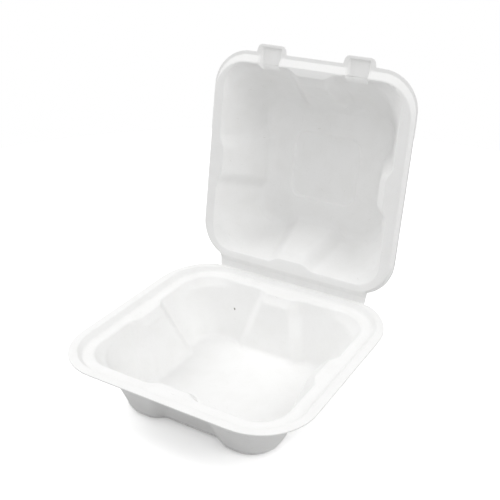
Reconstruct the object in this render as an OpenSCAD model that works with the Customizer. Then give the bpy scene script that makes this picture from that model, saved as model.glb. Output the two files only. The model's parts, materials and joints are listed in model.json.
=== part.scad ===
// Hinged take-out container, moulded in one piece from plant fibre: a tapered tray, a lid of like
// form, and a web between them that is folded along one line.
// The lid stands open. Millimetres, +Z up, origin at the middle of the tray's foot.

/* [Mouth] */
// Width of the tray's opening, across X
mouth_w = 123; // [112:1:150]
// Length of the tray's opening, front to back
mouth_l = 119; // [110:1:150]
// Corner radius of that opening at the front
mouth_r = 17.5; // [14:0.5:22]

/* [Base] */
// Height of the base from the table to the top of its rim
base_h = 40; // [30:1:55]
// Thickness of the base's wall
base_wall = 0.85; // [0.6:0.05:1.2]
// How far the foot of the base's wall stands in from the mouth
base_taper = 13.5; // [9:0.5:17]
// Corner radius of the foot
foot_r = 16; // [12:0.5:20]
// Rounding between the base's wall and its floor
foot_fillet = 4; // [2.5:0.5:5]
// Extra radius of the base's two corners beside the hinge
back_round = 5.5; // [2:0.5:8]
// Width of the seat that the lid's rim rests on
seat_w = 7.1; // [6.5:0.1:9]
// Rise of the step between the seat and the outer rim
step_h = 3; // [2:0.1:3.5]
// Run of that step
step_run = 2.3; // [1.6:0.1:3]
// Width of the flat outer rim
rim_w = 5.1; // [4.5:0.1:8]

/* [Lid] */
// Depth of the lid from its rim to the inside of its top panel
lid_h = 36; // [26:1:50]
// Thickness of the lid's wall
lid_wall = 0.65; // [0.5:0.05:1]
// How far the top panel's edge stands in from the lid's opening, at the sides
lid_taper = 15; // [10:0.5:18]
// The same at the front
front_taper = 21; // [14:0.2:24]
// The same beside the hinge
back_taper = 16.4; // [11:0.2:19]
// Corner radius of the lid's opening
lid_mouth_r = 15; // [12:0.5:20]
// Corner radius of the top panel
panel_r = 15; // [12:0.5:19]
// Rounding between the lid's wall and its top panel
panel_fillet = 4.5; // [3:0.5:6]
// How far the lid's flat rim reaches past the tray's opening, at the sides
lid_side_reach = 4.1; // [3:0.1:4.6]
// The same at the front
lid_front_reach = 4.9; // [4:0.1:5.4]
// The same beside the hinge
lid_back_reach = 3.6; // [3:0.1:4.2]
// Width of the lid's flat rim at the sides
lid_rim_w = 6.6; // [5:0.1:8]
// Width of the lid's flat rim at the front
lid_front_w = 1.4; // [1.2:0.1:2.5]
// Width of the lid's flat rim beside the hinge
lid_back_w = 4.7; // [3.6:0.1:6]
// Run of the step outside the flat rim, at the sides
lid_step_run = 1.2; // [0.8:0.1:1.8]
// Run of the sloped step at the front, which passes over the base's step
front_slope = 4; // [3.6:0.1:4.8]
// Width of the lip at the front
front_lip = 2.3; // [1.2:0.1:3]
// Width of the lip at the sides
side_lip = 0.8; // [0.5:0.1:1]
// Width of the square embossed in the top panel
emboss_w = 47; // [34:1:52]
// Length of that square
emboss_l = 45; // [32:1:50]
// How far the square stands out of the panel
emboss_h = 1.2; // [0.6:0.1:2]

/* [Dents in the four sides] */
// How far a dent cuts into the mouth
dent_mouth = 3.5; // [2:0.1:4.5]
// How deep it is just under its shelf
dent_deep = 6.5; // [5:0.1:7.5]
// How deep it is at the foot of the wall
dent_foot = 4.5; // [3:0.1:5.5]
// Drop of the shelf at the top of a dent and of a corner
shelf_drop = 4.5; // [3.5:0.1:6]
// Length of the flat part of a base's dent, at the foot
dent_flat = 34; // [26:1:38]
// Length of the flat part of a lid's dent, at the top panel
lid_dent_flat = 26; // [20:1:32]
// How much the corners are cut back under their shelf, in radius
corner_cut = 9; // [5:0.5:10]

/* [Hinge] */
// Angle between base and lid as it stands
open_angle = 100; // [92:1:104]
// Length of the hinge web along the fold
hinge_w = 104; // [90:1:112]
// How far the fold lies in front of the back of the rim
fold_inset = 3.6; // [3:0.1:4.2]
// Clearance between lid and base, at the fold and when shut
shut_gap = 0.3; // [0.2:0.05:0.5]

/* [Tabs] */
// Width of a lifting tab
tab_w = 19; // [17:0.5:21]
// Distance between the middles of the two tabs
tab_pitch = 58; // [54:1:62]
// How far a tab reaches past the front lip
tab_reach = 5; // [3:0.1:7]
// Width of the border round a tab's channel
tab_border = 2.4; // [2:0.1:3]
// Depth of a tab's channel under the lip
tab_channel = 1.2; // [0.6:0.1:1.4]

/* [Hidden] */

fibre = "#f4f4f2";

// Levels of the base, all as its upper face: floor, seat and rim
floor_z = base_wall;
seat_z = base_h - step_h;
// Levels of the lid in its own frame, which lies open and flat behind the fold, mouth up
lid_seat_z = step_h;
panel_z = lid_seat_z - lid_h;

// Half sizes of the mouth, the seat, the step and the rim
half_w = mouth_w / 2;
half_l = mouth_l / 2;
rim_half_w = half_w + seat_w + step_run + rim_w;
rim_half_l = half_l + seat_w + step_run + rim_w;
fold_y = rim_half_l - fold_inset;

// Rounding of the edge of the tray's opening, and of the lid's
edge_r = 1.8;
lid_edge_r = 1.2;
// Steps of the small roundings, from flat to the wall's slope
arc_steps = [0, 0.5, 1];
// Depth at which each wall ring stands, as a share of the wall under the shelf
wall_steps = [0.86, 0.57, 0.28];
// Length of the blend at each end of a dent
dent_run = 9;
// Flat part of a dent at the mouth
dent_mouth_flat = 15;
// Run of the lid's step beside the hinge, and of the web's own slope
back_step_run = 1.1;
web_slope = 3;
// Slant of the web's two ends
web_end = 1.5;
// Radius of the embossed square's corners, and the width of its sloped edge
emboss_r = 8;
emboss_edge = 1.4;
// Slant of a tab's channel walls and side edges, and the cut of its end corners
channel_slant = 1.2;
tab_slant = 0.8;
tab_chamfer = 1.8;
// Width of the flat end of a tab, past its channel, and of the channel's end slope
tab_end = 1.6;
tab_slope = 1;

// Distances from the middle of a side, at the mouth, at which every ring has a point
side_marks = [0, 6, 10, 13.5, 17, 20.5, 24, 28, 32.5, 37, 42];
// The same along the hinge side, where the last two are at and past the end of the web
back_marks = concat(side_marks, [(side_marks[len(side_marks) - 1] + hinge_w / 2) / 2,
                                 hinge_w / 2, hinge_w / 2 + web_end]);
// Points between the last marks of two sides
corner_count = 5;

function smooth(t) = let(c = min(1, max(0, t))) c * c * (3 - 2 * c);
function mix(a, b, t) = a + (b - a) * t;
function reversed(list) = [for (i = [len(list) - 1:-1:0]) list[i]];
function both_ways(list) = [for (i = [len(list) - 1:-1:1]) -list[i], each list];
function unit(v) = v / norm(v);

// Depth of a dent at a place u along its side
function dent(u, flat, depth) = depth * smooth((flat / 2 + dent_run - abs(u)) / dent_run);

// How far a rounded side lies inside its straight line at a place u, for a half length of half
function rounding(u, half, r) = let(past = max(0, abs(u) - half + r)) r - sqrt(r * r - past * past);

// Angle in a corner's arc at which a side's last mark lies
function arc_angle(mark, half, r) = asin(max(0, mark - half + r) / r);

// Points inside the corner at [w, l], in turn from the side at l to the side at w
function corner(w, l, r, mark_w, mark_l) =
    let(from = arc_angle(mark_w, w, r), to = 90 - arc_angle(mark_l, l, r))
    [for (i = [1:corner_count]) let(t = mix(from, to, i / (corner_count + 1)))
        [w - r + r * sin(t), l - r + r * cos(t)]];

// One ring of points round the container, from the left end of the front side anticlockwise.
// size = [half width, front half length, back half length], radii = [front, back],
// cut = [flat length, depth] of the dents, marks = [front, side, back, mouth]: three lists of places
// along the mouth, and the mouth's own size, inside which they are drawn together.
function ring(size, radii, cut, z, marks) =
    let(
        w = size[0], f = size[1], b = size[2], rf = radii[0], rb = radii[1],
        sx = min(1, w / marks[3][0]), sf = min(1, f / marks[3][1]), sb = min(1, b / marks[3][2]),
        last = [for (i = [0:2]) marks[i][len(marks[i]) - 1]],
        front_corner = corner(w, f, rf, last[0] * sx, last[1] * sf),
        back_corner = corner(w, b, rb, last[2] * sx, last[1] * sb),
        side = [for (m = both_ways(marks[1])) let(y = m * (m < 0 ? sf : sb))
            [w - dent(y, cut[0], cut[1]) - rounding(y, y < 0 ? f : b, y < 0 ? rf : rb), y, z]]
    )
    [
        for (m = both_ways(marks[0])) let(x = m * sx)
            [x, -f + dent(x, cut[0], cut[1]) + rounding(x, w, rf), z],
        for (p = front_corner) [p[0], -p[1], z],
        each side,
        for (p = reversed(back_corner)) [p[0], p[1], z],
        for (m = reversed(both_ways(marks[2]))) let(x = m * sx)
            [x, b - dent(x, cut[0], cut[1]) - rounding(x, w, rb), z],
        for (p = back_corner) [-p[0], p[1], z],
        for (p = reversed(side)) [-p[0], p[1], z],
        for (p = reversed(front_corner)) [-p[0], -p[1], z]
    ];

// Wall of a tray as rings, from the edge of its floor up to the flat beside its mouth.
// mouth = [half width, front half length, back half length] and radii = [front, back] are its
// opening's, taper = [sides, front, back] is its slope, levels = [flat beside the mouth, floor],
// roundings = [edge of the mouth, edge of the floor].
function wall_rings(mouth, radii, taper, levels, roundings, low_r, flat, marks) =
    let(
        top = levels[0],
        bottom = levels[1],
        slope = atan2(top - bottom, taper[0]),
        edge = roundings[0],
        fillet = roundings[1],
        low = fillet * tan(slope / 2),
        high = edge * tan(slope / 2),
        shelf = top - shelf_drop,
        cut_back = [corner_cut, corner_cut],
        place = function(share, inset) mouth - share * taper - [inset, inset, inset],
        level = function(z) place((top - z) / (top - bottom), 0)
    )
    [
        for (t = arc_steps)
            ring(place(1, low - fillet * sin(slope * t)), [low_r, low_r], [flat, dent_foot],
                 bottom + fillet * (1 - cos(slope * t)), marks),
        for (t = wall_steps)
            let(z = mix(shelf, bottom, t))
            ring(level(z), mix(radii + cut_back, [low_r, low_r], t),
                 [mix(dent_mouth_flat, flat, t), mix(dent_deep, dent_foot, t)], z, marks),
        ring(level(shelf), radii + cut_back, [dent_mouth_flat, dent_deep], shelf, marks),
        for (t = reversed(arc_steps))
            ring(place(0, edge * sin(slope * t) - high), radii, [dent_mouth_flat, dent_mouth],
                 top - edge * (1 - cos(slope * t)), marks)
    ];

// Upward normal of the surface that the rings span, at point i of ring k
function normal(rings, k, i) =
    let(
        n = len(rings[0]),
        along = rings[k][(i + 1) % n] - rings[k][(i + n - 1) % n],
        across = rings[min(k + 1, len(rings) - 1)][i] - rings[max(k - 1, 0)][i]
    )
    unit(cross(across, along));

// Closed shell of one thickness whose upper face is the surface that the rings span.
// The flat inside the first ring is a fan of triangles round its middle.
module shell(rings, thickness) {
    n = len(rings[0]);
    last = len(rings) - 1;
    under = [for (k = [0:last]) [for (i = [0:n - 1])
        k == 0 ? rings[0][i] - [0, 0, thickness] : rings[k][i] - thickness * normal(rings, k, i)]];
    middle = [0, 0, rings[0][0][2]];
    low = n * (last + 1);
    centre = 2 * low;
    points = [for (r = rings) each r, for (r = under) each r, middle, middle - [0, 0, thickness]];
    faces = [for (i = [0:n - 1]) let(j = (i + 1) % n) each [
        [j, i, centre],
        [low + i, low + j, centre + 1],
        for (k = [0:last - 1]) let(a = k * n + i, b = k * n + j) each [
            [a, b, b + n], [a, b + n, a + n],
            [low + a, low + b + n, low + b], [low + a, low + a + n, low + b + n]
        ],
        [low - n + i, low - n + j, 2 * low - n + j],
        [low - n + i, 2 * low - n + j, 2 * low - n + i]
    ]];
    polyhedron(points, faces);
}

// Whether a point of a ring is on the hinge web's part of the back
function on_web(p) = p[1] > 0 && abs(p[0]) < (hinge_w + web_end) / 2;

// Rim of the base outside its mouth: seat, step, and a rim that stops short of the fold
base_mouth = [half_w, half_l, half_l];
base_marks = [side_marks, side_marks, back_marks, base_mouth];
base_back_r = mouth_r + back_round / 2;
function base_rim() =
    let(
        out_ring = function(out, z, more)
            ring([half_w + out, half_l + out, half_l + out], [mouth_r + out, base_back_r + out + more],
                 [1, 0], z, base_marks),
        step_out = seat_w + step_run
    )
    [
        out_ring(seat_w * 0.5, seat_z, 0),
        out_ring(seat_w, seat_z, 0),
        out_ring(step_out, base_h, 0),
        [for (p = out_ring(step_out + rim_w, base_h, back_round / 2))
            on_web(p) ? [p[0], fold_y - shut_gap, p[2]] : [p[0], min(p[1], fold_y - shut_gap), p[2]]]
    ];

module base() {
    color(fibre)
    shell(concat(
        wall_rings(base_mouth, [mouth_r, base_back_r], [base_taper, base_taper, base_taper],
                   [seat_z, floor_z], [edge_r, foot_fillet], foot_r, dent_flat, base_marks),
        base_rim()
    ), base_wall);
}

// Outer sizes of the lid's flat rim, its step and its lip, and the size of its opening
lid_flat = [half_w + lid_side_reach, half_l + lid_front_reach, half_l + lid_back_reach];
lid_mouth = lid_flat - [lid_rim_w, lid_front_w, lid_back_w];
lid_step = lid_flat + [lid_step_run, front_slope, back_step_run];
lid_edge = lid_step + [side_lip, front_lip, side_lip];

// Places of a tab's edges and of its channel, as distances from the tab's middle
tab_half = tab_w / 2;
channel_half = tab_half - tab_border;
tab_edges = [channel_half - channel_slant, channel_half, tab_half, tab_half + tab_slant];

// The lid's front side has points at the edges of its tabs
lid_marks = [
    [0, 6, 10, 13.5, 17, for (d = reversed(tab_edges)) tab_pitch / 2 - d, tab_pitch / 2,
     for (d = tab_edges) tab_pitch / 2 + d, 42.5],
    side_marks,
    back_marks,
    lid_mouth
];

function tab_place(x) = abs(abs(x) - tab_pitch / 2);
function on_tab(p) = p[1] < 0 && tab_place(p[0]) < tab_half + tab_slant / 2;
function in_channel(p) = p[1] < 0 && tab_place(p[0]) < channel_half - channel_slant / 2;

// A ring of the lid's rim, with its points on the tabs and on the web moved to their own places.
// reach and web are the distances of the front edge and of the back edge there.
function rim_ring(size, z, reach, web, tab_z) =
    let(r = size[0] - half_w + mouth_r)
    [for (p = ring(size, [r, r], [1, 0], z, lid_marks))
        on_web(p) ? [p[0], max(p[1], web), p[2]] :
        in_channel(p) ? [p[0], -reach, tab_z] :
        on_tab(p) ? [p[0], -reach + (tab_place(p[0]) > channel_half + tab_slant / 2 ?
                                     min(tab_chamfer, max(0, reach - size[1])) : 0), z] :
        p];

// The same for the rings round the mouth, where only the channel is cut
function cut_channel(rings) =
    [for (r = rings) [for (p = r) in_channel(p) && p[2] > -tab_channel ? [p[0], p[1], -tab_channel] : p]];

// The lid in its own frame: the fold on the X axis, the mouth upwards
module lid_open_flat() {
    front = lid_edge[1] + tab_reach;
    web_start = lid_flat[2] + web_slope;
    emboss = function(inset, z)
        ring([emboss_w / 2 - inset, emboss_l / 2 - inset, emboss_l / 2 - inset],
             [emboss_r - inset, emboss_r - inset], [1, 0], z, lid_marks);
    rings = concat(
        [emboss(emboss_edge, panel_z - emboss_h), emboss(0, panel_z)],
        cut_channel(wall_rings(lid_mouth, [lid_mouth_r, lid_mouth_r], [lid_taper, front_taper, back_taper],
                               [lid_seat_z, panel_z], [lid_edge_r, panel_fillet], panel_r, lid_dent_flat,
                               lid_marks)),
        [
            rim_ring(lid_flat, lid_seat_z, lid_flat[1], lid_flat[2], -tab_channel),
            rim_ring(lid_step, 0, lid_step[1], web_start, -tab_channel),
            rim_ring(mix(lid_step, lid_edge, 0.4), 0, front - tab_end - tab_slope,
                     mix(web_start, fold_y, 0.4), -tab_channel),
            rim_ring(mix(lid_step, lid_edge, 0.7), 0, front - tab_end,
                     mix(web_start, fold_y, 0.7), 0),
            rim_ring(lid_edge, 0, front, fold_y, 0)
        ]
    );
    translate([0, fold_y, 0])
    mirror([0, 1, 0])
    shell(rings, lid_wall);
}

module lid() {
    color(fibre)
    translate([0, fold_y, base_h + shut_gap])
    rotate([180 - open_angle, 0, 0])
    lid_open_flat();
}

base();
lid();
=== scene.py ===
"""A take-out container pressed in one piece from plant fibre, standing open on a pale floor.

The tray, the lid and the folded web between them are one wall of fibre. It is traced ring by ring as a
sheet, and a Geometry Nodes tree presses it to its thickness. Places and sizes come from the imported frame
where it has them, and are otherwise fields of the classes below, in metres.
"""

import json
import logging
import math
from dataclasses import dataclass, field
from typing import Any, Optional, Union

import bpy
import numpy as np
from mathutils import Euler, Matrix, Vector


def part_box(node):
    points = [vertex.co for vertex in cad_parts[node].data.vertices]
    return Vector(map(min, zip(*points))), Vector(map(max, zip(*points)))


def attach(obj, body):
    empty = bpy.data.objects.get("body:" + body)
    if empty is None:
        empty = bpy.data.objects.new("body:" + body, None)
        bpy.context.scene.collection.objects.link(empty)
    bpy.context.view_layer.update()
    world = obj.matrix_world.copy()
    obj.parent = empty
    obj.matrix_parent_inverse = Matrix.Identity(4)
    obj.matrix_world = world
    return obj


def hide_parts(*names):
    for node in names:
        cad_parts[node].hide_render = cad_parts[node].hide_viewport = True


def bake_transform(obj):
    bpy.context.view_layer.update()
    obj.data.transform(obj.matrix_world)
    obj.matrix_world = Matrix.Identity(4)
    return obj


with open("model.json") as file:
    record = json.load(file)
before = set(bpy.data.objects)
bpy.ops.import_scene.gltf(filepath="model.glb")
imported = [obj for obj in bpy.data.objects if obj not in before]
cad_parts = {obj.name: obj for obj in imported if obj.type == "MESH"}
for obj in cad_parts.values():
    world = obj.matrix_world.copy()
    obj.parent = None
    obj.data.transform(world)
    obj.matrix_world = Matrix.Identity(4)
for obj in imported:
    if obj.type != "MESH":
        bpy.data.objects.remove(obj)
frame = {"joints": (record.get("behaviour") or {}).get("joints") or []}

LOG = logging.getLogger("container")
MM = 0.001


def smooth(t: np.ndarray) -> np.ndarray:
    """Returns t eased between 0 and 1, and held outside them."""
    held = np.clip(t, 0.0, 1.0)
    return held * held * (3.0 - 2.0 * held)


def mix(a: Any, b: Any, t: Any) -> Any:
    """Returns the value a share t of the way from a to b."""
    return a + (b - a) * t


def both_ways(marks: np.ndarray) -> np.ndarray:
    """Returns the marks of a half side, which start at 0, for the whole side."""
    return np.concatenate([-marks[:0:-1], marks])


def merged(*groups: Any, apart: float = 0.2 * MM) -> np.ndarray:
    """Returns the marks of all groups in order, without those that lie too close to the one before.

    Args:
        groups: Lists of marks.
        apart: The least distance between two marks.

    Returns:
        The marks that are kept, starting at 0.
    """
    kept = [0.0]
    for mark in sorted(float(m) for g in groups for m in g):
        if mark - kept[-1] >= apart:
            kept.append(mark)
    return np.array(kept)


class Signal:
    """A value or colour on its way through a node tree. Arithmetic on it adds the nodes for it."""

    def __init__(self, graph: "Graph", socket: bpy.types.NodeSocket) -> None:
        """Wraps an output socket of the graph."""
        self.graph = graph
        self.socket = socket

    @property
    def is_vector(self) -> bool:
        """Whether it has three parts, as a colour or a place has."""
        return self.socket.type in {"VECTOR", "RGBA"}

    def _math(self, operation: str, first: Any, second: Any) -> "Signal":
        """Adds a Math node, or a Vector Math node where either side is a vector."""
        vector = any(isinstance(s, Signal) and s.is_vector for s in (first, second))
        kind = "ShaderNodeVectorMath" if vector else "ShaderNodeMath"
        parts = [
            (s,) * 3 if vector and isinstance(s, (int, float)) else s
            for s in (first, second)
        ]
        return self.graph.node(kind, {"operation": operation}, *parts)

    def __add__(self, other: Any) -> "Signal":
        """Adds another signal or number."""
        return self._math("ADD", self, other)

    __radd__ = __add__

    def __sub__(self, other: Any) -> "Signal":
        """Takes another signal or number away."""
        return self._math("SUBTRACT", self, other)

    def __rsub__(self, other: Any) -> "Signal":
        """Is taken away from a number."""
        return self._math("SUBTRACT", other, self)

    def __mul__(self, other: Any) -> "Signal":
        """Multiplies by another signal or number."""
        return self._math("MULTIPLY", self, other)

    __rmul__ = __mul__

    def __truediv__(self, other: Any) -> "Signal":
        """Divides by another signal or number."""
        return self._math("DIVIDE", self, other)

    def __rtruediv__(self, other: Any) -> "Signal":
        """Divides a number."""
        return self._math("DIVIDE", other, self)

    def least(self, other: Any) -> "Signal":
        """Returns the smaller of this and another."""
        return self._math("MINIMUM", self, other)

    def most(self, other: Any) -> "Signal":
        """Returns the larger of this and another."""
        return self._math("MAXIMUM", self, other)

    def dot(self, other: Any) -> "Signal":
        """Returns the dot product with another vector."""
        return self.graph.node("ShaderNodeVectorMath", {"operation": "DOT_PRODUCT"}, self, other, out="Value")

    def ramp(self, low: float, high: float) -> "Signal":
        """Returns it eased from 0 at low to 1 at high."""
        settings = {"interpolation_type": "SMOOTHSTEP"}
        return self.graph.node("ShaderNodeMapRange", settings, self, low, high)


class Graph:
    """A shader or geometry node tree that is being built."""

    def __init__(self, tree: bpy.types.NodeTree) -> None:
        """Starts on an empty tree."""
        self.tree = tree
        tree.nodes.clear()

    def node(
        self,
        kind: str,
        settings: Optional[dict[str, Any]] = None,
        *values: Any,
        out: Union[str, int] = 0,
        **named: Any,
    ) -> Signal:
        """Adds a node.

        Args:
            kind: The node's type.
            settings: Its own properties, set before its sockets.
            values: Values or signals for its first visible inputs, in order. None leaves one as it is.
            out: The output that is returned, by name or place.
            named: Values or signals for inputs by name, with _ for a space.

        Returns:
            The chosen output.
        """
        made = self.tree.nodes.new(kind)
        for name, value in (settings or {}).items():
            setattr(made, name, value)
        shown = [s for s in made.inputs if s.enabled and not s.is_unavailable]
        pairs = list(zip(shown, values))
        for name, value in named.items():
            pairs.append((next(s for s in shown if s.name == name.replace("_", " ")), value))
        for socket, value in pairs:
            if isinstance(value, Signal):
                self.tree.links.new(value.socket, socket)
            elif isinstance(value, list):
                for signal in value:
                    self.tree.links.new(signal.socket, socket)
            elif value is not None:
                socket.default_value = value
        outputs = [s for s in made.outputs if s.enabled and not s.is_unavailable]
        chosen = outputs[out] if isinstance(out, int) else next(s for s in outputs if s.name == out)
        return Signal(self, chosen)

    def end(self, kind: str, signal: Signal) -> None:
        """Adds the tree's output node, with a signal at its first input."""
        made = self.tree.nodes.new(kind)
        self.tree.links.new(signal.socket, made.inputs[0])

    def other(self, signal: Signal, name: str) -> Signal:
        """Returns another output of the node that a signal comes from."""
        outputs = signal.socket.node.outputs
        return Signal(self, next(s for s in outputs if s.name == name and not s.is_unavailable))


class GeometryTree(Graph):
    """A Geometry Nodes tree with named inputs, and its use on an object."""

    def __init__(self, name: str, inputs: dict[str, str]) -> None:
        """Makes the tree.

        Args:
            name: The tree's name.
            inputs: The socket type of each named input after the geometry.
        """
        super().__init__(bpy.data.node_groups.new(name, "GeometryNodeTree"))
        face = self.tree.interface
        face.new_socket("Geometry", in_out="INPUT", socket_type="NodeSocketGeometry")
        self.identifiers = {
            n: face.new_socket(n, in_out="INPUT", socket_type=t).identifier for n, t in inputs.items()
        }
        face.new_socket("Geometry", in_out="OUTPUT", socket_type="NodeSocketGeometry")
        self.entry = self.node("NodeGroupInput")

    def given(self, name: str) -> Signal:
        """Returns a named input of the tree."""
        return self.other(self.entry, name)

    def put_on(self, obj: bpy.types.Object, values: dict[str, Any]) -> None:
        """Adds the tree to an object as a modifier, with its named inputs set."""
        modifier = obj.modifiers.new(self.tree.name, "NODES")
        modifier.node_group = self.tree
        for name, value in values.items():
            modifier[self.identifiers[name]] = value


def as_plain_mesh(obj: bpy.types.Object) -> bpy.types.Object:
    """Turns what an object's modifiers make into its own mesh, and removes them."""
    graph = bpy.context.evaluated_depsgraph_get()
    made = bpy.data.meshes.new_from_object(obj.evaluated_get(graph), depsgraph=graph)
    made.name = obj.name
    obj.modifiers.clear()
    obj.data = made
    return obj


def add_object(name: str, data: bpy.types.ID) -> bpy.types.Object:
    """Adds an object to the scene."""
    obj = bpy.data.objects.new(name, data)
    bpy.context.scene.collection.objects.link(obj)
    return obj


@dataclass(frozen=True)
class FibreFinish:
    """Pressed white plant fibre: matt, faintly mottled, with fibres lying every way in its surface.

    The outer face keeps the imprint of the screen that the pulp was drawn onto.
    """

    name: str = "pressed_fibre"
    colour: tuple[float, float, float, float] = (0.862, 0.862, 0.857, 1.0)
    cloud: tuple[float, float, float, float] = (0.846, 0.845, 0.838, 1.0)
    strand: tuple[float, float, float, float] = (0.760, 0.755, 0.738, 1.0)
    strand_share: float = 0.16
    cloud_size: float = 13 * MM
    felt_size: float = 0.9 * MM
    strand_size: float = 1.1 * MM
    strand_stretch: float = 9.0
    strand_turns: tuple[float, ...] = (17.0, 73.0, 131.0)
    screen_pitch: float = 1.4 * MM
    screen_share: float = 0.35
    roughness: float = 0.8
    relief: float = 0.05 * MM
    relief_strength: float = 0.4

    def build(self) -> bpy.types.Material:
        """Makes the material.

        Returns:
            The material, whose patterns read Object coordinates.
        """
        material = bpy.data.materials.new(self.name)
        material.use_nodes = True
        graph = Graph(material.node_tree)
        place = graph.node("ShaderNodeTexCoord", out="Object")
        noise = {"noise_dimensions": "3D"}
        clouds = graph.node("ShaderNodeTexNoise", noise, place, 1 / self.cloud_size, 3.0, 0.55)
        felt = graph.node("ShaderNodeTexNoise", noise, place, 1 / self.felt_size, 4.0, 0.65)
        strands = self._strands(graph, place)
        paper = graph.node(
            "ShaderNodeMix", {"data_type": "RGBA"}, clouds.ramp(0.4, 0.7), self.colour, self.cloud
        )
        paper = graph.node(
            "ShaderNodeMix", {"data_type": "RGBA"}, strands * self.strand_share, paper, self.strand
        )
        height = felt * 0.7 + strands * 0.45 + self._screen(graph, place) * self.screen_share
        bump = graph.node(
            "ShaderNodeBump", None, Strength=self.relief_strength, Distance=self.relief, Height=height
        )
        shader = graph.node(
            "ShaderNodeBsdfPrincipled",
            None,
            Base_Color=paper,
            Roughness=self.roughness + felt * 0.16 - 0.08,
            Normal=bump,
        )
        shader.socket.node.inputs["Specular IOR Level"].default_value = 0.28
        graph.end("ShaderNodeOutputMaterial", shader)
        return material

    def _screen(self, graph: Graph, place: Signal) -> Signal:
        """Returns the woven imprint on the outer face, and 0 on the inner one."""
        outside = graph.node(
            "ShaderNodeAttribute", {"attribute_type": "GEOMETRY", "attribute_name": "outside"}, out="Fac"
        )
        waves = graph.node(
            "ShaderNodeVectorMath", {"operation": "SINE"}, place * (math.tau / self.screen_pitch)
        )
        return waves.dot((1.0, 1.0, 1.0)) * outside

    def _strands(self, graph: Graph, place: Signal) -> Signal:
        """Returns a mask of thin fibres that lie in a few directions."""
        mask: Optional[Signal] = None
        for turn in self.strand_turns:
            stretched = graph.node(
                "ShaderNodeMapping",
                {"vector_type": "TEXTURE"},
                place,
                Rotation=Euler((math.radians(turn * 0.7), math.radians(turn * 1.3), math.radians(turn))),
                Scale=(self.strand_stretch, 1.0, 1.0),
            )
            lines = graph.node(
                "ShaderNodeTexNoise", {"noise_dimensions": "3D"}, stretched, 1 / self.strand_size, 2.0, 0.5
            ).ramp(0.62, 0.72)
            mask = lines if mask is None else mask.most(lines)
        return mask


@dataclass(frozen=True)
class FleckFinish:
    """A loose fibre that was pressed into the surface: straw, or grey where the pulp held one."""

    name: str = "straw_fleck"
    colour: tuple[float, float, float, float] = (0.77, 0.762, 0.735, 1.0)
    cloud_size: float = 1.5 * MM
    roughness: float = 0.85

    def build(self) -> bpy.types.Material:
        """Makes the material, a little darker in places along the fibre."""
        material = bpy.data.materials.new(self.name)
        material.use_nodes = True
        graph = Graph(material.node_tree)
        place = graph.node("ShaderNodeTexCoord", out="Object")
        patches = graph.node("ShaderNodeTexNoise", {"noise_dimensions": "3D"}, place, 1 / self.cloud_size)
        dark = tuple(c * 0.7 for c in self.colour[:3]) + (1.0,)
        paint = graph.node("ShaderNodeMix", {"data_type": "RGBA"}, patches.ramp(0.4, 0.7), self.colour, dark)
        shader = graph.node("ShaderNodeBsdfPrincipled", None, Base_Color=paint, Roughness=self.roughness)
        graph.end("ShaderNodeOutputMaterial", shader)
        return material


@dataclass(frozen=True)
class Ring:
    """A level line round a tray, seen from above: a square with round corners and a dent in each side."""

    half_w: float
    front: float
    back: float
    front_r: float
    back_r: float
    z: float
    flat: float = 0.0
    dent: float = 0.0


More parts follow.
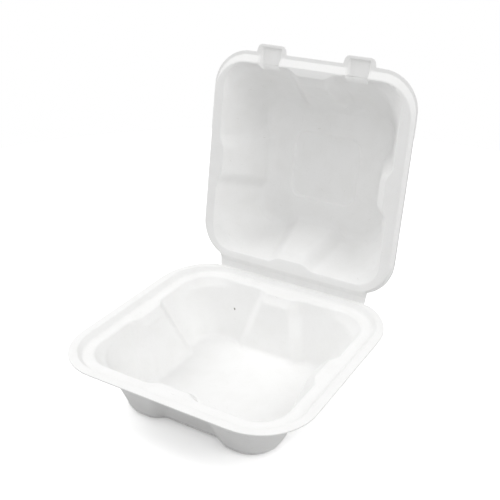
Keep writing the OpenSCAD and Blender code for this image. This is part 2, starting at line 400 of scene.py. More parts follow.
@dataclass
class Layout:
    """Where the points of every ring lie: at the same places along each side, and round each corner.

    Rings that are smaller than the mouth have their points drawn together by the same share.
    """

    front: np.ndarray
    side: np.ndarray
    back: np.ndarray
    mouth: np.ndarray
    dent_run: float = 9 * MM
    corner_count: int = 13

    @property
    def front_part(self) -> slice:
        """The points of the front side."""
        return slice(0, 2 * len(self.front) - 1)

    @property
    def back_part(self) -> slice:
        """The points of the hinge side, from right to left."""
        start = 2 * len(self.front) - 1 + self.corner_count + 2 * len(self.side) - 1 + self.corner_count
        return slice(start, start + 2 * len(self.back) - 1)

    def _dent(self, place: np.ndarray, ring: Ring) -> np.ndarray:
        """Returns how deep a side's dent is at each place."""
        return ring.dent * smooth((ring.flat / 2 + self.dent_run - np.abs(place)) / self.dent_run)

    @staticmethod
    def _rounding(place: np.ndarray, half: float, radius: float) -> np.ndarray:
        """Returns how far a rounded side lies inside its straight line at each place."""
        past = np.clip(np.abs(place) - half + radius, 0.0, radius)
        return radius - np.sqrt(radius * radius - past * past)

    def _corner(
        self, half_w: float, half_l: float, radius: float, mark_w: float, mark_l: float
    ) -> np.ndarray:
        """Returns points round the corner at [half_w, half_l], from the end side to the long side."""
        start = math.asin(max(0.0, mark_w - half_w + radius) / radius)
        stop = math.pi / 2 - math.asin(max(0.0, mark_l - half_l + radius) / radius)
        turn = mix(start, stop, np.arange(1, self.corner_count + 1) / (self.corner_count + 1))
        return np.stack(
            [half_w - radius + radius * np.sin(turn), half_l - radius + radius * np.cos(turn)], axis=1
        )

    def trace(self, ring: Ring) -> np.ndarray:
        """Traces a ring.

        Args:
            ring: The ring's sizes.

        Returns:
            Its points, from the left end of the front side anticlockwise, one row each.
        """
        wide, ahead, behind = np.minimum(1.0, np.array([ring.half_w, ring.front, ring.back]) / self.mouth)
        front_x, back_x = both_ways(self.front) * wide, both_ways(self.back)[::-1] * wide
        side_y = both_ways(self.side)
        side_y = np.where(side_y < 0, side_y * ahead, side_y * behind)
        front_y = -ring.front + self._dent(front_x, ring)
        front_y += self._rounding(front_x, ring.half_w, ring.front_r)
        back_y = ring.back - self._dent(back_x, ring) - self._rounding(back_x, ring.half_w, ring.back_r)
        side_x = ring.half_w - self._dent(side_y, ring)
        side_x -= np.where(
            side_y < 0,
            self._rounding(side_y, ring.front, ring.front_r),
            self._rounding(side_y, ring.back, ring.back_r),
        )
        front_corner = self._corner(
            ring.half_w, ring.front, ring.front_r, self.front[-1] * wide, self.side[-1] * ahead
        ) * (1, -1)
        back_corner = self._corner(
            ring.half_w, ring.back, ring.back_r, self.back[-1] * wide, self.side[-1] * behind
        )
        right = np.stack([side_x, side_y], axis=1)
        left = (-1, 1)
        flat = np.concatenate([
            np.stack([front_x, front_y], axis=1),
            front_corner,
            right,
            back_corner[::-1],
            np.stack([back_x, back_y], axis=1),
            back_corner * left,
            right[::-1] * left,
            front_corner[::-1] * left,
        ])
        return np.column_stack([flat, np.full(len(flat), ring.z)])


@dataclass
class Station:
    """A line of points round the wall, and how far the wall is rounded where it bends there."""

    points: np.ndarray
    round_off: float = 0.0


def softened(stations: list[Station], steps: int = 4) -> list[np.ndarray]:
    """Rounds the bends of a wall, each column of points by itself.

    Args:
        stations: The wall's lines, from the floor outwards.
        steps: How many pieces a bend is rounded with.

    Returns:
        The lines of the rounded wall.
    """
    lines = [stations[0].points]
    for before, here, after in zip(stations, stations[1:], stations[2:]):
        if not here.round_off:
            lines.append(here.points)
            continue
        back, ahead = before.points - here.points, after.points - here.points
        back_l = np.maximum(np.linalg.norm(back, axis=1, keepdims=True), 1e-9)
        ahead_l = np.maximum(np.linalg.norm(ahead, axis=1, keepdims=True), 1e-9)
        cut = np.minimum(here.round_off, 0.45 * np.minimum(back_l, ahead_l))
        start, stop = here.points + back / back_l * cut, here.points + ahead / ahead_l * cut
        for t in np.linspace(0, 1, steps + 1):
            lines.append((1 - t) ** 2 * start + 2 * t * (1 - t) * here.points + t * t * stop)
    return lines + [stations[-1].points]


@dataclass(frozen=True)
class Fold:
    """The line along which the web is folded, and the way that the lid stands from it."""

    y: float
    z: float
    angle: float
    soft: float = 1.0 * MM

    @classmethod
    def from_joint(cls, joint: dict[str, Any]) -> "Fold":
        """Reads the fold from the frame's hinge, which shuts the lid at the end of its range."""
        _, y, z = joint["pos_m"]
        return cls(y, z, math.radians(joint["range_deg"][1]))

    @property
    def across(self) -> Vector:
        """The way across the fold, from the tray's side to the lid's."""
        return Vector((0.0, 1.0 - math.cos(self.angle), math.sin(self.angle))).normalized()

    @property
    def ends(self) -> tuple[Vector, Vector]:
        """The points between which the web bends."""
        middle = Vector((0.0, self.y, self.z))
        return middle - self.across * self.soft, middle + self.across * self.soft

    def stand(self, points: np.ndarray) -> np.ndarray:
        """Puts points of the lid, which are traced like a tray's, where the lid stands."""
        turn = math.pi - self.angle
        ahead, up = self.y - points[:, 1], points[:, 2]
        y = self.y + ahead * math.cos(turn) - up * math.sin(turn)
        z = self.z + ahead * math.sin(turn) + up * math.cos(turn)
        return np.column_stack([points[:, 0], y, z])


@dataclass
class Mouth:
    """The opening of the tray or of the lid, and the dents that cut into it."""

    half_w: float = 61.5 * MM
    front: float = 59.5 * MM
    back: float = 59.5 * MM
    radius: float = 17.5 * MM
    edge: float = 1.8 * MM
    dent: float = 3.5 * MM
    dent_deep: float = 6.5 * MM
    dent_foot: float = 4.5 * MM
    dent_flat: float = 15 * MM
    shelf_drop: float = 4.5 * MM
    corner_cut: float = 9 * MM
    shelf_round: float = 1.6 * MM

    @property
    def size(self) -> np.ndarray:
        """Its half width, and its half lengths to the front and to the back."""
        return np.array([self.half_w, self.front, self.back])

    def wall(self, form: "WallForm", layout: Layout) -> list[Station]:
        """Traces a wall, from the edge of its floor up to the flat beside the mouth.

        Args:
            form: The wall's own sizes.
            layout: Where the points of its rings lie.

        Returns:
            Its lines.
        """
        slope = math.atan2(form.top - form.bottom, form.taper[0])
        low = form.fillet * math.tan(slope / 2)
        high = self.edge * math.tan(slope / 2)
        shelf = form.top - self.shelf_drop

        def line(share: float, inset: float, z: float, front_r: float, back_r: float, flat: float,
                 dent: float, round_off: float = 0.0) -> Station:
            """Traces the ring of the wall that stands in by a share of the taper and by an inset."""
            size = self.size - np.array(form.taper) * share - inset
            return Station(layout.trace(Ring(*size, front_r, back_r, z, flat, dent)), round_off)

        made = []
        for t in np.linspace(0, 1, 6):
            inset = low - form.fillet * math.sin(slope * t)
            z = form.bottom + form.fillet * (1 - math.cos(slope * t))
            made.append(line(1.0, inset, z, form.low_r, form.low_r, form.flat, self.dent_foot))
        for t in np.linspace(0.88, 0, 10):
            z = mix(shelf, form.bottom, t)
            made.append(line(
                (form.top - z) / (form.top - form.bottom),
                0.0,
                z,
                mix(self.radius + self.corner_cut, form.low_r, t),
                mix(form.back_r + self.corner_cut, form.low_r, t),
                mix(self.dent_flat, form.flat, t),
                mix(self.dent_deep, self.dent_foot, t),
                self.shelf_round if t == 0 else 0.0,
            ))
        for t in np.linspace(1, 0, 6):
            inset = self.edge * math.sin(slope * t) - high
            z = form.top - self.edge * (1 - math.cos(slope * t))
            made.append(line(0.0, inset, z, self.radius, form.back_r, self.dent_flat, self.dent))
        return made


@dataclass(frozen=True)
class WallForm:
    """What sets a tray's wall apart: its levels, its slope at the sides, front and back, and its foot."""

    top: float
    bottom: float
    taper: tuple[float, float, float]
    low_r: float
    back_r: float
    fillet: float
    flat: float


def shrunk(line: np.ndarray, shares: Any) -> list[Station]:
    """Returns copies of a flat line that are drawn together towards the middle by the given shares."""
    return [Station(line * (share, share, 1)) for share in shares]


@dataclass
class Tray:
    """The base: a tapered tray with a seat, a step and a flat rim."""

    mouth: Mouth
    fold: Fold
    height: float
    half_w: float
    gap: float = 0.3 * MM
    wall: float = 0.85 * MM
    taper: float = 13.5 * MM
    foot_r: float = 16 * MM
    foot_fillet: float = 4 * MM
    dent_flat: float = 34 * MM
    back_round: float = 5.5 * MM
    seat_w: float = 7.1 * MM
    step_h: float = 3 * MM
    step_run: float = 2.3 * MM
    step_round: float = 0.9 * MM

    @property
    def rim_w(self) -> float:
        """Width of the flat rim outside the step."""
        return self.half_w - self.mouth.half_w - self.seat_w - self.step_run

    def stations(self, layout: Layout, web: float) -> list[Station]:
        """Traces the tray from the middle of its floor to the edge of its rim.

        Args:
            layout: Where the points of its rings lie.
            web: Half the length of the hinge web.

        Returns:
            Its lines.
        """
        mouth, seat_z = self.mouth, self.height - self.step_h
        back_r = mouth.radius + self.back_round / 2
        form = WallForm(
            seat_z, self.wall, (self.taper,) * 3, self.foot_r, back_r, self.foot_fillet, self.dent_flat
        )
        wall = mouth.wall(form, layout)

        def out(distance: float, z: float, more: float = 0.0) -> np.ndarray:
            """Traces a ring at a distance outside the mouth."""
            radii = mouth.radius + distance, back_r + distance + more
            return layout.trace(Ring(*(mouth.size + distance), *radii, z))

        step_out = self.seat_w + self.step_run
        edge = out(step_out + self.rim_w, self.height, self.back_round / 2)
        back = edge[layout.back_part]
        limit = self.fold.y - self.gap
        back[:, 1] = np.where(np.abs(back[:, 0]) < web + self.gap, limit, np.minimum(back[:, 1], limit))
        step = out(step_out, self.height)
        return (
            shrunk(wall[0].points, (0.03, 0.12, 0.22, 0.32, 0.42, 0.52, 0.62, 0.72, 0.81, 0.9, 0.96))
            + wall
            + [
                Station(out(self.seat_w * 0.3, seat_z)),
                Station(out(self.seat_w * 0.65, seat_z)),
                Station(out(self.seat_w, seat_z), self.step_round),
                Station(step, self.step_round),
            ]
            + [Station(mix(step, edge, t)) for t in (0.35, 0.6, 0.8, 0.93, 1.0)]
        )


@dataclass
class Tabs:
    """The two lifting tabs on the lid's front lip, each with a channel that runs on into the wall."""

    width: float = 19 * MM
    pitch: float = 58 * MM
    reach: float = 5 * MM
    border: float = 2.4 * MM
    channel: float = 1.2 * MM
    channel_slant: float = 1.2 * MM
    side_slant: float = 0.8 * MM
    chamfer: float = 1.8 * MM
    end: float = 1.6 * MM
    end_slope: float = 1.0 * MM

    @property
    def channel_half(self) -> float:
        """Half the width of a channel at its top."""
        return self.width / 2 - self.border

    def marks(self) -> np.ndarray:
        """Places along the front at which the tabs need points."""
        half, channel = self.width / 2, self.channel_half
        from_middle = np.concatenate([
            np.linspace(channel - self.channel_slant, channel, 6),
            np.linspace(half, half + self.side_slant, 4),
        ])
        middle = self.pitch / 2
        return np.concatenate([middle - from_middle, middle + from_middle])

    def _from_middle(self, x: np.ndarray) -> np.ndarray:
        """Returns how far places along the front are from the nearest tab's middle."""
        return np.abs(np.abs(x) - self.pitch / 2)

    def in_channel(self, x: np.ndarray) -> np.ndarray:
        """Returns 1 on a channel's floor, 0 outside it, and what is between on its slanted sides."""
        return smooth((self.channel_half - self._from_middle(x)) / self.channel_slant)

    def on_tab(self, x: np.ndarray) -> np.ndarray:
        """Returns 1 on a tab, 0 beside it, and what is between on its slanted edge."""
        over = (self.width / 2 + self.side_slant - self._from_middle(x)) / self.side_slant
        return np.clip(over, 0.0, 1.0)

    def cut_corner(self, x: np.ndarray) -> np.ndarray:
        """Returns how far a tab's end is cut back at each place."""
        past = (self._from_middle(x) - self.channel_half) / self.border
        return self.chamfer * np.clip(past, 0.0, 1.0) ** 2


@dataclass
class Lid:
    """The lid: its own mouth, a top panel with an embossed square, a stepped rim, tabs and the web."""

    tray_mouth: Mouth
    fold: Fold
    tabs: Tabs = field(default_factory=Tabs)
    depth: float = 36 * MM
    step_h: float = 3 * MM
    wall: float = 0.65 * MM
    taper: tuple[float, float, float] = (15 * MM, 21 * MM, 16.4 * MM)
    mouth_r: float = 15 * MM
    mouth_edge: float = 1.2 * MM
    panel_r: float = 15 * MM
    fillet: float = 4.5 * MM
    dent_flat: float = 26 * MM
    flat_reach: tuple[float, float, float] = (4.1 * MM, 4.9 * MM, 3.6 * MM)
    flat_w: tuple[float, float, float] = (6.6 * MM, 1.4 * MM, 4.7 * MM)
    step_run: float = 1.2 * MM
    front_slope: float = 4 * MM
    back_run: float = 1.1 * MM
    side_lip: float = 0.8 * MM
    front_lip: float = 2.3 * MM
    web_slope: float = 3 * MM
    step_round: float = 0.8 * MM
    square_w: float = 47 * MM
    square_l: float = 45 * MM
    square_r: float = 8 * MM
    square_h: float = 1.2 * MM
    square_edge: float = 1.4 * MM

    @property
    def flat(self) -> np.ndarray:
        """Outer size of the flat rim: half width, and half lengths to the front and to the back."""
        return self.tray_mouth.size + np.array(self.flat_reach)

    @property
    def mouth(self) -> Mouth:
        """The lid's opening, which its flat rim surrounds."""
        size = self.flat - np.array(self.flat_w)
        return Mouth(*(float(s) for s in size), radius=self.mouth_r, edge=self.mouth_edge)

    def _rim_line(self, layout: Layout, size: np.ndarray, z: float, reach: float, web: Optional[float],
                  channel_z: float, half_web: float) -> np.ndarray:
        """Traces a line of the rim.

        Args:
            layout: Where its points lie.
            size: Its half width, front length and back length.
            z: Its level.
            reach: Distance of its front on a tab.
            web: Distance of its back on the web.
            channel_z: Its level in a tab's channel.
            half_web: Half the length of the web.

        Returns:
            Its points.
        """
        radius = size[0] - self.tray_mouth.half_w + self.tray_mouth.radius
        line = layout.trace(Ring(*size, radius, radius, z))
        front, back = line[layout.front_part], line[layout.back_part]
        x = front[:, 0]
        ahead = -reach + self.tabs.cut_corner(x) * min(1.0, max(0.0, (reach - size[1]) / self.tabs.reach))
        front[:, 1] = mix(front[:, 1], ahead, self.tabs.on_tab(x))
        front[:, 2] = mix(z, channel_z, self.tabs.in_channel(x))
        if web is not None:
            back[:, 1] = np.where(np.abs(back[:, 0]) <= half_web, np.maximum(back[:, 1], web), back[:, 1])
        return line

    def _cut(self, layout: Layout, line: np.ndarray) -> np.ndarray:
        """Lowers the points of a line near the mouth that lie in the tabs' channels."""
        front = line[layout.front_part]
        lowered = np.minimum(front[:, 2], -self.tabs.channel)
        front[:, 2] = mix(front[:, 2], lowered, self.tabs.in_channel(front[:, 0]))
        return line

    def stations(self, layout: Layout, web: float) -> list[Station]:
        """Traces the lid, mouth up, from the middle of its panel to the edge of its rim.

        Args:
            layout: Where the points of its rings lie.
            web: Half the length of the hinge web.

        Returns:
            Its lines, before the lid is put where it stands.
        """
        mouth, tabs = self.mouth, self.tabs
        panel_z = self.step_h - self.depth
        form = WallForm(
            self.step_h, panel_z, self.taper, self.panel_r, mouth.radius, self.fillet, self.dent_flat
        )
        wall = mouth.wall(form, layout)
        for station in wall:
            station.points = self._cut(layout, station.points)

        def square(inset: float, z: float) -> np.ndarray:
            """Traces the embossed square."""
            half_l = self.square_l / 2 - inset
            radius = self.square_r - inset
            return layout.trace(Ring(self.square_w / 2 - inset, half_l, half_l, radius, radius, z))

        inner, outer = square(self.square_edge, panel_z - self.square_h), square(0.0, panel_z)
        flat = self.flat
        half = flat - np.array(self.flat_w) / 2
        step = flat + (self.step_run, self.front_slope, self.back_run)
        edge = step + (self.side_lip, self.front_lip, self.side_lip)
        front = edge[1] + tabs.reach
        web_start = flat[2] + self.web_slope
        low = -tabs.channel

        def lip(t: float, reach: float, channel_z: float) -> np.ndarray:
            """Traces a line of the lip, a share t of the way out."""
            return self._rim_line(
                layout, mix(step, edge, t), 0.0, reach, mix(web_start, self.fold.y, t), channel_z, web
            )

        return (
            shrunk(inner, (0.04, 0.2, 0.36, 0.52, 0.68, 0.84, 0.94))
            + [Station(inner, 0.5 * MM), Station(outer, 0.5 * MM)]
            + [Station(mix(outer, wall[0].points, t)) for t in (0.25, 0.5, 0.75)]
            + wall
            + [
                Station(self._rim_line(layout, half, self.step_h, half[1], None, low, web)),
                Station(self._rim_line(layout, flat, self.step_h, flat[1], None, low, web), self.step_round),
                Station(self._rim_line(layout, step, 0.0, step[1], web_start, low, web), self.step_round),
                Station(lip(0.2, mix(step[1], front, 0.3), low)),
                Station(lip(0.4, front - tabs.end - tabs.end_slope, low), 0.4 * MM),
                Station(lip(0.6, front - tabs.end, 0.0), 0.4 * MM),
                Station(lip(0.75, front - tabs.end * 0.7, 0.0)),
                Station(lip(0.88, front - tabs.end * 0.35, 0.0)),
                Station(lip(1.0, front, 0.0)),
            ]
        )


@dataclass
class Container:
    """The whole container: tray, web and lid as one pressed wall."""

    mouth: Mouth = field(default_factory=Mouth)
    web: float = 52 * MM
    web_end: float = 1.5 * MM
    spacing: float = 1.3 * MM
    last_mark: float = 42 * MM
    edge_round: float = 0.2 * MM
    unevenness: float = 0.14 * MM
    wave: float = 17 * MM
    name: str = "container"

    def build(self) -> bpy.types.Object:
        """Builds the container in its place.

        Returns:
            Its object, with the wall at its full thickness and no modifiers left.
        """
        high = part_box("base")[1]
        fold = Fold.from_joint(frame["joints"][0])
        tray = Tray(self.mouth, fold, high.z, high.x)
        lid = Lid(self.mouth, fold)
        side = merged(np.arange(0, self.last_mark, self.spacing), [self.last_mark])
        back = merged(side, np.arange(self.last_mark, self.web - self.spacing / 2, self.spacing))
        back = merged(back, [self.web, self.web + self.web_end / 2, self.web + self.web_end])
        front = merged(lid.tabs.marks(), [m for m in side if self._clear_of_tabs(m, lid.tabs)])
        tray_layout = Layout(side, side, back, self.mouth.size)
        lid_layout = Layout(front, side, back, lid.mouth.size)
        tray_lines = softened(tray.stations(tray_layout, self.web))
        lid_lines = [fold.stand(line) for line in softened(lid.stations(lid_layout, self.web))]

        points = np.concatenate(tray_lines + lid_lines + [
            [[0, 0, tray_lines[0][0, 2]]], [lid_lines[0].mean(axis=0)]
        ])
        start = len(tray_lines) * len(tray_lines[0])
        poles = len(points) - 2, len(points) - 1
        faces = self._faces(0, tray_lines, poles[0]) + [
            face[::-1] for face in self._faces(start, lid_lines, poles[1])
        ]
        faces += self._fold_faces(
            self._web_points(0, tray_lines, tray_layout), self._web_points(start, lid_lines, lid_layout)
        )
        mesh = bpy.data.meshes.new(self.name)
        mesh.from_pydata(points.tolist(), [], faces)
        thickness = np.full(len(points), tray.wall)
        thickness[start:-2] = lid.wall
        thickness[-1] = lid.wall
        mesh.attributes.new("wall", "FLOAT", "POINT").data.foreach_set("value", thickness)
        obj = add_object(self.name, mesh)
        material = FibreFinish().build()
        mesh.materials.append(material)
        pressed_wall().put_on(obj, {
            "Unevenness": self.unevenness, "Wave": self.wave, "Level Foot": 3 * MM, "Material": material,
        })
        bevel = obj.modifiers.new("Edge", "BEVEL")
        bevel.limit_method = "WEIGHT"
        bevel.width = self.edge_round
        bevel.segments = 2
        bevel.use_clamp_overlap = False
        as_plain_mesh(obj)
        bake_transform(obj)
        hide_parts("base", "lid")
        return obj

    @staticmethod
    def _clear_of_tabs(mark: float, tabs: Tabs) -> bool:
        """Whether a mark isn't right beside one of the tabs' own."""
        return float(np.min(np.abs(tabs.marks() - mark))) > 0.45 * MM

    @staticmethod
    def _faces(start: int, lines: list[np.ndarray], pole: int) -> list[tuple[int, ...]]:
        """Returns the faces of a sheet that rings span, facing up, with its middle closed."""
        count = len(lines[0])
        made: list[tuple[int, ...]] = [
            (pole, start + i, start + (i + 1) % count) for i in range(count)
        ]
        for k in range(len(lines) - 1):
            here = start + k * count
            for i in range(count):
                j = (i + 1) % count
                made.append((here + i, here + count + i, here + count + j, here + j))
        return made

    def _web_points(self, start: int, lines: list[np.ndarray], layout: Layout) -> list[int]:
        """Returns the numbers of the points along the web on the last line of a sheet."""
        first = start + (len(lines) - 1) * len(lines[0])
        places = lines[-1][:, 0]
        part = range(*layout.back_part.indices(len(places)))
        return [first + i for i in part if abs(places[i]) <= self.web + 0.01 * MM]

    @staticmethod
    def _fold_faces(tray: list[int], lid: list[int]) -> list[tuple[int, ...]]:
        """Returns the faces that join the tray's rim to the web along the fold."""
        return [
            (tray[i + 1], tray[i], lid[i], lid[i + 1]) for i in range(len(tray) - 1)
        ]


def pressed_wall() -> GeometryTree:
    """Makes the tree that presses a sheet to a wall of its own thickness, slightly uneven as pulp dries."""
    tree = GeometryTree("pressed_wall", {
        "Unevenness": "NodeSocketFloat",
        "Wave": "NodeSocketFloat",
        "Level Foot": "NodeSocketFloat",
        "Material": "NodeSocketMaterial",
    })
    place = tree.node("GeometryNodeInputPosition")
    normal = tree.node("GeometryNodeInputNormal")
    height = tree.other(tree.node("ShaderNodeSeparateXYZ", None, place), "Z")
    noise = tree.node(
        "ShaderNodeTexNoise", {"noise_dimensions": "3D"}, place, 1.0 / tree.given("Wave"), 2.0, 0.5
    )
    calm = (height / tree.given("Level Foot")).least(1.0)
    offset = normal * ((noise - 0.5) * tree.given("Unevenness") * calm * 2.0)
    sheet = tree.node("GeometryNodeSetPosition", None, tree.entry, Offset=offset)
    wall = tree.node("GeometryNodeInputNamedAttribute", {"data_type": "FLOAT"}, "wall")
    flipped = tree.node("GeometryNodeFlipFaces", None, sheet)
    under = tree.node(
        "GeometryNodeExtrudeMesh", {"mode": "FACES"}, flipped, Offset_Scale=wall, Individual=False
    )
    marked = tree.node(
        "GeometryNodeStoreNamedAttribute", {"data_type": "FLOAT", "domain": "FACE"}, under,
        Selection=tree.other(under, "Top"), Name="outside", Value=1.0,
    )
    edged = tree.node(
        "GeometryNodeStoreNamedAttribute", {"data_type": "FLOAT", "domain": "FACE"}, marked,
        Selection=tree.other(under, "Side"), Name="cut", Value=1.0,
    )
    whole = tree.node("GeometryNodeJoinGeometry", None, [sheet, edged])
    closed = tree.node("GeometryNodeMergeByDistance", None, whole, Distance=0.005 * MM)
    sharp = tree.node(
        "FunctionNodeCompare", {"data_type": "FLOAT", "operation": "GREATER_THAN"},
        tree.node("GeometryNodeInputMeshEdgeAngle"), math.radians(60),
    )
    cut = tree.node("GeometryNodeInputNamedAttribute", {"data_type": "FLOAT"}, "cut")
    weighted = tree.node(
        "GeometryNodeStoreNamedAttribute", {"data_type": "FLOAT", "domain": "EDGE"}, closed,
        Selection=sharp, Name="bevel_weight_edge", Value=(cut * 4.0).least(1.0),
    )
    smoothed = tree.node("GeometryNodeSetShadeSmooth", None, weighted)
    real = tree.node("GeometryNodeRealizeInstances", None, smoothed)
    dressed = tree.node("GeometryNodeSetMaterial", None, real, Material=tree.given("Material"))
    tree.end("NodeGroupOutput", dressed)
    return tree


@dataclass
class Flecks:
    """Short loose fibres that lie in the surface of one body, each a bent sliver half sunk into it.

    They are strewn inside a box. A sliver's bow and radius are shares of half its length.
    """

    body: str
    low: tuple[float, float, float]
    high: tuple[float, float, float]
    seed: int
    per_area: float = 1500.0
    half_length: tuple[float, float] = (0.6 * MM, 1.3 * MM)
    bow: float = 0.45
    bow_place: float = 0.1
    radius: float = 0.055
    sides: int = 5
    finish: FleckFinish = field(default_factory=FleckFinish)

    def dress(self, container: bpy.types.Object) -> bpy.types.Object:
        """Strews the fibres over the part of the container that moves with the body.

        Args:
            container: The finished container.

        Returns:
            One plain mesh, which rides on the body.
        """
        obj = add_object(f"flecks_{self.body}", container.data.copy())
        material = self.finish.build()
        self._tree().put_on(obj, {
            "Low": self.low, "High": self.high, "Seed": self.seed, "Per Area": self.per_area,
            "Shortest": self.half_length[0], "Longest": self.half_length[1], "Material": material,
        })
        as_plain_mesh(obj)
        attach(obj, self.body)
        return obj

    def _tree(self) -> GeometryTree:
        """Makes the tree that strews slivers over the faces inside a box."""
        tree = GeometryTree(f"strewn_{self.body}", {
            "Low": "NodeSocketVector", "High": "NodeSocketVector", "Seed": "NodeSocketInt",
            "Per Area": "NodeSocketFloat", "Shortest": "NodeSocketFloat", "Longest": "NodeSocketFloat",
            "Material": "NodeSocketMaterial",
        })
        place = tree.node("GeometryNodeInputPosition")
        room = (place - tree.given("Low")) * (tree.given("High") - place)
        sides = tree.node("ShaderNodeSeparateXYZ", None, room)
        inside = sides.least(tree.other(sides, "Y")).least(tree.other(sides, "Z"))
        kept = tree.node("FunctionNodeCompare", {"data_type": "FLOAT", "operation": "GREATER_THAN"}, inside)
        points = tree.node(
            "GeometryNodeDistributePointsOnFaces", {"distribute_method": "RANDOM"}, tree.entry,
            Selection=kept, Density=tree.given("Per Area"), Seed=tree.given("Seed"),
        )
        spine = tree.node(
            "GeometryNodeCurveQuadraticBezier", None, self.sides,
            (-1.0, 0.0, 0.0), (self.bow_place, self.bow, 0.0), (1.0, 0.0, 0.0),
        )
        section = tree.node("GeometryNodeCurvePrimitiveCircle", None, self.sides, Radius=self.radius)
        sliver = tree.node("GeometryNodeCurveToMesh", None, spine, section, Fill_Caps=True)
        spin = self._random(tree, 0.0, math.tau, 1)
        turned = tree.node(
            "FunctionNodeRotateRotation", {"rotation_space": "LOCAL"}, tree.other(points, "Rotation"),
            tree.node("FunctionNodeAxisAngleToRotation", None, (0.0, 0.0, 1.0), spin),
        )
        size = self._random(tree, tree.given("Shortest"), tree.given("Longest"), 2)
        strewn = tree.node(
            "GeometryNodeInstanceOnPoints", None, points, Instance=sliver, Rotation=turned, Scale=size
        )
        real = tree.node("GeometryNodeRealizeInstances", None, strewn)
        smoothed = tree.node("GeometryNodeSetShadeSmooth", None, real)
        tree.end("NodeGroupOutput", tree.node(
            "GeometryNodeSetMaterial", None, smoothed, Material=tree.given("Material")
        ))
        return tree

    @staticmethod
    def _random(tree: GeometryTree, low: Any, high: Any, step: int) -> Signal:
        """Returns a random number for each point, from the tree's seed and a step of its own."""
        return tree.node(
            "FunctionNodeRandomValue", {"data_type": "FLOAT"}, Min=low, Max=high,
            Seed=tree.given("Seed") + float(step),
        )


@dataclass
class Speck:
    """The grey speck that the photograph shows on the back wall inside the tray."""

    x: float = -31.1 * MM
    z: float = 20.2 * MM
    long: float = 1.9 * MM
    wide: float = 1.2 * MM
    rise: float = 0.06 * MM
    turn: float = 0.6
    corners: int = 14
    ragged: tuple[float, float] = (0.16, 0.1)
    shoulder: tuple[float, float] = (0.8, 0.7)
    finish: FleckFinish = FleckFinish("grey_speck", (0.30, 0.29, 0.27, 1.0))

    def dress(self, container: bpy.types.Object) -> bpy.types.Object:
        """Lays the speck where a ray from the middle of the tray meets its back wall.

        Args:
            container: The finished container.

        Returns:
            Its object, which rides on the base.
        """
        hit, middle, normal, _ = container.ray_cast(Vector((self.x, 0.0, self.z)), Vector((0.0, 1.0, 0.0)))
        if not hit:
            raise RuntimeError("the speck has no wall to lie on")
        across = normal.to_track_quat("Z", "X").to_matrix()
        rim, n = self._outline(), self.corners
        inset, height = self.shoulder
        points = [middle + across @ (p - Vector((0, 0, self.rise))) for p in rim]
        points += [middle + across @ (p * inset + Vector((0, 0, self.rise * height))) for p in rim]
        points.append(middle + normal * self.rise)
        faces = [(k, (k + 1) % n, n + (k + 1) % n, n + k) for k in range(n)]
        faces += [(n + k, n + (k + 1) % n, 2 * n) for k in range(n)]
        faces.append(tuple(range(n - 1, -1, -1)))
        mesh = bpy.data.meshes.new("speck")
        mesh.from_pydata([tuple(p) for p in points], [], faces)
        mesh.shade_smooth()
        mesh.materials.append(self.finish.build())
        obj = add_object("speck", mesh)
        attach(obj, "base")
        return obj

    def _outline(self) -> list[Vector]:
        """Returns its ragged outline, lying flat round the origin."""
        rim = []
        for k in range(self.corners):
            angle = math.tau * k / self.corners
            rough = 1.0 + self.ragged[0] * math.sin(3 * angle) + self.ragged[1] * math.sin(5 * angle + 1.0)
            point = Vector((self.long * math.cos(angle), self.wide * math.sin(angle), 0.0)) * (rough / 2)
            point.rotate(Euler((0.0, 0.0, self.turn)))
            rim.append(point)
        return rim


@dataclass(frozen=True)
class Lamp:
    """A soft square lamp that points at the container."""

    name: str
    place: tuple[float, float, float]
    power: float
    target: tuple[float, float, float] = (0.0, 0.03, 0.05)
    size: float = 1.0

    def build(self) -> None:
        """Builds the lamp."""
        data = bpy.data.lights.new(self.name, "AREA")
        data.shape = "SQUARE"
        data.size = self.size
        data.energy = self.power
        lamp = add_object(self.name, data)
        place = Vector(self.place)
        lamp.location = place
        lamp.rotation_euler = (Vector(self.target) - place).to_track_quat("-Z", "Y").to_euler()


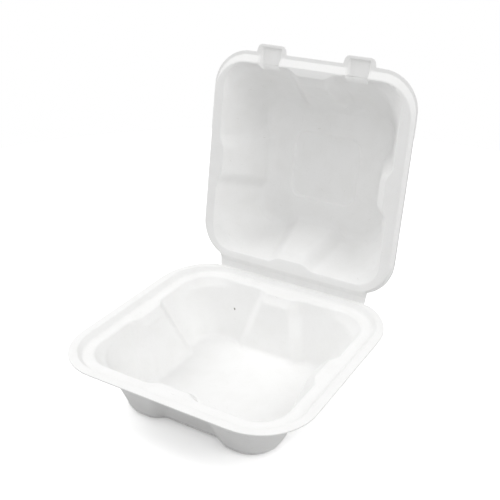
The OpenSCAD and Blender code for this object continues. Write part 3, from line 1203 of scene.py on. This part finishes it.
@dataclass
class Stage:
    """The pale floor, the soft light and the camera."""

    target: tuple[float, float, float] = (-46.4 * MM, 98.5 * MM, 40.0 * MM)
    distance: float = 574 * MM
    azimuth: float = 30.85
    elevation: float = 26.47
    focal_px: float = 826.5
    image_px: float = 500.0
    sensor: float = 36.0
    floor_radius: float = 0.5
    floor_corners: int = 96
    floor_tone: float = 0.6
    floor_gain: float = 2.4
    sky: float = 0.48
    lamps: tuple[Lamp, ...] = (
        Lamp("left", (-1.0, 0.0, 1.0), 9.1),
        Lamp("right", (1.0, 0.0, 1.0), 7.7),
        Lamp("front", (0.3, -1.1, 1.0), 3.8),
    )

    def build(self) -> None:
        """Builds the stage."""
        self._camera()
        self._floor()
        self._world()
        for lamp in self.lamps:
            lamp.build()

    def _camera(self) -> None:
        """Makes the camera."""
        azimuth, elevation = math.radians(self.azimuth), math.radians(self.elevation)
        back = Vector((
            math.sin(azimuth) * math.cos(elevation),
            -math.cos(azimuth) * math.cos(elevation),
            math.sin(elevation),
        ))
        data = bpy.data.cameras.new("camera")
        data.sensor_width = self.sensor
        data.lens = self.focal_px / self.image_px * self.sensor
        data.clip_start = 0.01
        camera = add_object("camera", data)
        camera.location = Vector(self.target) + back * self.distance
        camera.rotation_euler = (-back).to_track_quat("-Z", "Y").to_euler()
        bpy.context.scene.camera = camera

    def _floor(self) -> None:
        """Makes the floor, which is white to the camera except where the container shades it."""
        turns = [math.tau * k / self.floor_corners for k in range(self.floor_corners)]
        rim = [(self.floor_radius * math.cos(a), self.floor_radius * math.sin(a), 0.0) for a in turns]
        mesh = bpy.data.meshes.new("floor")
        mesh.from_pydata(rim, [], [tuple(range(self.floor_corners))])
        floor = add_object("floor", mesh)
        material = bpy.data.materials.new("floor")
        material.use_nodes = True
        graph = Graph(material.node_tree)
        tone = (self._seen(graph) * (self.floor_gain - 1.0) + 1.0) * self.floor_tone
        graph.end("ShaderNodeOutputMaterial", graph.node("ShaderNodeBsdfDiffuse", None, tone))
        mesh.materials.append(material)

    def _world(self) -> None:
        """Makes the surroundings: white to the camera, and an even light for the container."""
        world = bpy.data.worlds.new("surroundings")
        bpy.context.scene.world = world
        world.use_nodes = True
        graph = Graph(world.node_tree)
        seen = self._seen(graph)
        strength = seen + (1.0 - seen) * self.sky
        graph.end(
            "ShaderNodeOutputWorld", graph.node("ShaderNodeBackground", None, (1.0, 1.0, 1.0, 1.0), strength)
        )

    @staticmethod
    def _seen(graph: Graph) -> Signal:
        """Returns 1 for the rays that show the surroundings, straight or in a reflection."""
        camera = graph.node("ShaderNodeLightPath", out="Is Camera Ray")
        seen = camera.most(graph.other(camera, "Is Glossy Ray"))
        return seen.most(graph.other(camera, "Is Transmission Ray"))


def main() -> None:
    """Builds the container and its stage."""
    logging.basicConfig(level=logging.INFO, format="%(message)s")
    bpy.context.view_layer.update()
    bpy.context.scene.view_settings.view_transform = "Standard"
    container = Container().build()
    tray_room = (-0.070, -0.068, 0.0015), (0.070, 0.063, 0.0398)
    lid_room = (-0.063, 0.060, 0.055), (0.063, 0.123, 0.170)
    strewn = [
        Flecks("base", *tray_room, seed=5).dress(container),
        Flecks("lid", *lid_room, seed=11).dress(container),
        Speck().dress(container),
    ]
    for piece in [container] + strewn:
        LOG.info("%s: %d faces", piece.name, len(piece.data.polygons))
    Stage().build()


if __name__ == "__main__":
    main()
